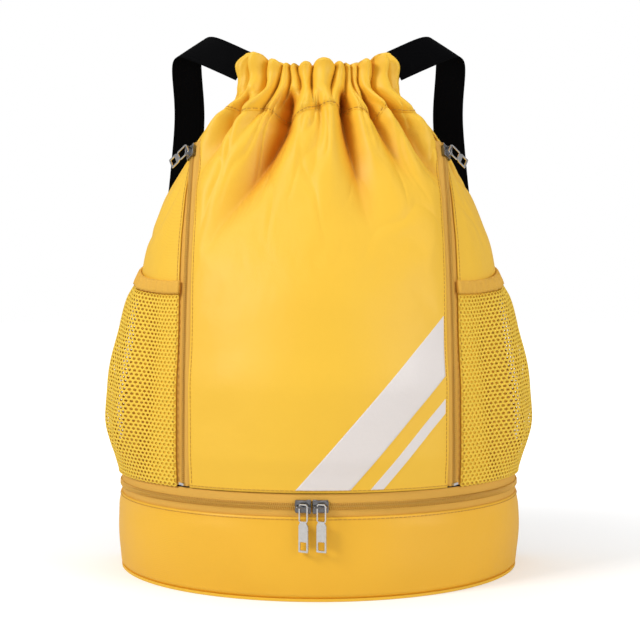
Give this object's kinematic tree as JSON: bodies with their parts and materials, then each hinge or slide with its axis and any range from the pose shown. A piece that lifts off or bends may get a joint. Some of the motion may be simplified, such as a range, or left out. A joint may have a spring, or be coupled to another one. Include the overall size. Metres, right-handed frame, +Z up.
{
  "type": "drawstring backpack",
  "caption": "Soft D-shaped backpack with a gathered drawstring mouth, zipped shoe compartment in the base, upright front zips, mesh side pockets and webbing shoulder straps.",
  "frame": {"origin": "on the floor under the middle of the bag, on the flat bottom; the base's round front is centred 70 mm behind it", "axes": "+Z up from the floor, -Y out of the bag's round front, +Y towards the wearer's back, +X the viewer's right when facing the front"},
  "size_m": [0.349, 0.2005, 0.4237],
  "materials": {
    "yellow_fabric": "coated woven polyester, satin",
    "lining": "thin plain lining, matte",
    "board": "matte stiffener board",
    "zip_tape": "woven tape, matte",
    "zip_coil": "nylon coil, semi-gloss",
    "zip_metal": "plated zinc, polished",
    "print_film": "printed film, satin",
    "webbing": "flat woven webbing, satin",
    "mesh": "open knitted mesh, matte",
    "black_plastic": "moulded, satin"
  },
  "bodies": {
    "base": {"base_wall": "yellow_fabric", "base_bottom_panel": "yellow_fabric", "base_board": "board", "base_lining": "lining", "base_zip_tape_lower": "zip_tape", "base_zip_coil_lower": "zip_coil", "base_zip_end_stops": "zip_metal"},
    "bag": {"front_panel": "yellow_fabric", "back_panel": "yellow_fabric", "side_panel_left": "yellow_fabric", "side_panel_right": "yellow_fabric", "divider_floor": "lining", "front_pocket_liner": "lining", "diagonal_band": "print_film", "tunnel_front": "yellow_fabric", "tunnel_back": "yellow_fabric", "drawstring_webbing": "webbing", "front_zip_tapes_left": "zip_tape", "front_zip_tapes_right": "zip_tape", "front_zip_coils_left": "zip_coil", "front_zip_coils_right": "zip_coil", "front_zip_stops_left": "zip_metal", "front_zip_stops_right": "zip_metal", "mesh_pocket_left": "mesh", "mesh_pocket_right": "mesh", "pocket_binding_left": "zip_tape", "pocket_binding_right": "zip_tape", "base_zip_tape_upper": "zip_tape", "base_zip_coil_upper": "zip_coil", "strap_anchor_left": "yellow_fabric", "strap_anchor_right": "yellow_fabric"},
    "base_zip_slider_left": {"base_slider_left": "zip_metal"},
    "base_zip_slider_right": {"base_slider_right": "zip_metal"},
    "base_zip_puller_left": {"base_puller_left": "zip_metal"},
    "base_zip_puller_right": {"base_puller_right": "zip_metal"},
    "front_zip_slider_left": {"front_slider_left": "zip_metal"},
    "front_zip_slider_right": {"front_slider_right": "zip_metal"},
    "front_zip_puller_left": {"front_puller_left": "zip_metal"},
    "front_zip_puller_right": {"front_puller_right": "zip_metal"},
    "strap_left": {"shoulder_strap_left": "webbing", "strap_tail_left": "webbing"},
    "strap_right": {"shoulder_strap_right": "webbing", "strap_tail_right": "webbing"},
    "adjuster_left": {"strap_adjuster_left": "black_plastic"},
    "adjuster_right": {"strap_adjuster_right": "black_plastic"}
  },
  "joints": [
    {"name": "shoe_compartment_open", "type": "hinge", "parent": "base", "child": "bag", "pos_m": [0, 0.09, 0.0662], "axis": [-1, 0, 0], "range_deg": [0, 48], "deforming": ["base_zip_tape_upper", "base_zip_coil_upper"]},
    {"name": "base_slider_left_travel", "type": "hinge", "parent": "base", "child": "base_zip_slider_left", "pos_m": [0, 0.07, 0.066], "axis": [0, 0, -1], "range_deg": [0, 80]},
    {"name": "base_slider_right_travel", "type": "hinge", "parent": "base", "child": "base_zip_slider_right", "pos_m": [0, 0.07, 0.066], "axis": [0, 0, 1], "range_deg": [0, 80]},
    {"name": "base_puller_left_swing", "type": "hinge", "parent": "base_zip_slider_left", "child": "base_zip_puller_left", "pos_m": [-0.01093, -0.09449, 0.066], "axis": [-0.9978, 0.0663, 0], "range_deg": [0, 70]},
    {"name": "base_puller_right_swing", "type": "hinge", "parent": "base_zip_slider_right", "child": "base_zip_puller_right", "pos_m": [0.0015, -0.09484, 0.066], "axis": [-1, -0.0091, 0], "range_deg": [0, 70]},
    {"name": "front_slider_right_travel", "type": "hinge", "parent": "bag", "child": "front_zip_slider_right", "pos_m": [0, 0.3251, 0.1027], "axis": [1, 0, 0], "range_deg": [0, 34]},
    {"name": "front_puller_right_swing", "type": "hinge", "parent": "front_zip_slider_right", "child": "front_zip_puller_right", "pos_m": [0.10189, 0.00824, 0.32457], "axis": [0, -0.5736, -0.8192], "range_deg": [0, 60]},
    {"name": "front_slider_left_travel", "type": "hinge", "parent": "bag", "child": "front_zip_slider_left", "pos_m": [0, 0.3251, 0.1027], "axis": [1, 0, 0], "range_deg": [0, 34]},
    {"name": "front_puller_left_swing", "type": "hinge", "parent": "front_zip_slider_left", "child": "front_zip_puller_left", "pos_m": [-0.10189, 0.00824, 0.32457], "axis": [0, 0.5736, 0.8192], "range_deg": [0, 60]},
    {"name": "strap_right_swing", "type": "hinge", "parent": "bag", "child": "strap_right", "pos_m": [0.069, 0.025, 0.386], "axis": [-0.1647, -0.2353, 0.9579], "range_deg": [0, 18]},
    {"name": "adjuster_right_slide", "type": "slide", "parent": "strap_right", "child": "adjuster_right", "axis": [0, 0, -1], "range_m": [0, 0.036]},
    {"name": "strap_left_swing", "type": "hinge", "parent": "bag", "child": "strap_left", "pos_m": [-0.069, 0.025, 0.386], "axis": [-0.1647, 0.2353, -0.9579], "range_deg": [0, 18]},
    {"name": "adjuster_left_slide", "type": "slide", "parent": "strap_left", "child": "adjuster_left", "axis": [0, 0, -1], "range_m": [0, 0.036]}
  ],
  "couplings": [
    {"joint": "base_slider_left_travel", "follows": "shoe_compartment_open", "ratio": 1.6666},
    {"joint": "base_slider_right_travel", "follows": "shoe_compartment_open", "ratio": 1.6666}
  ]
}
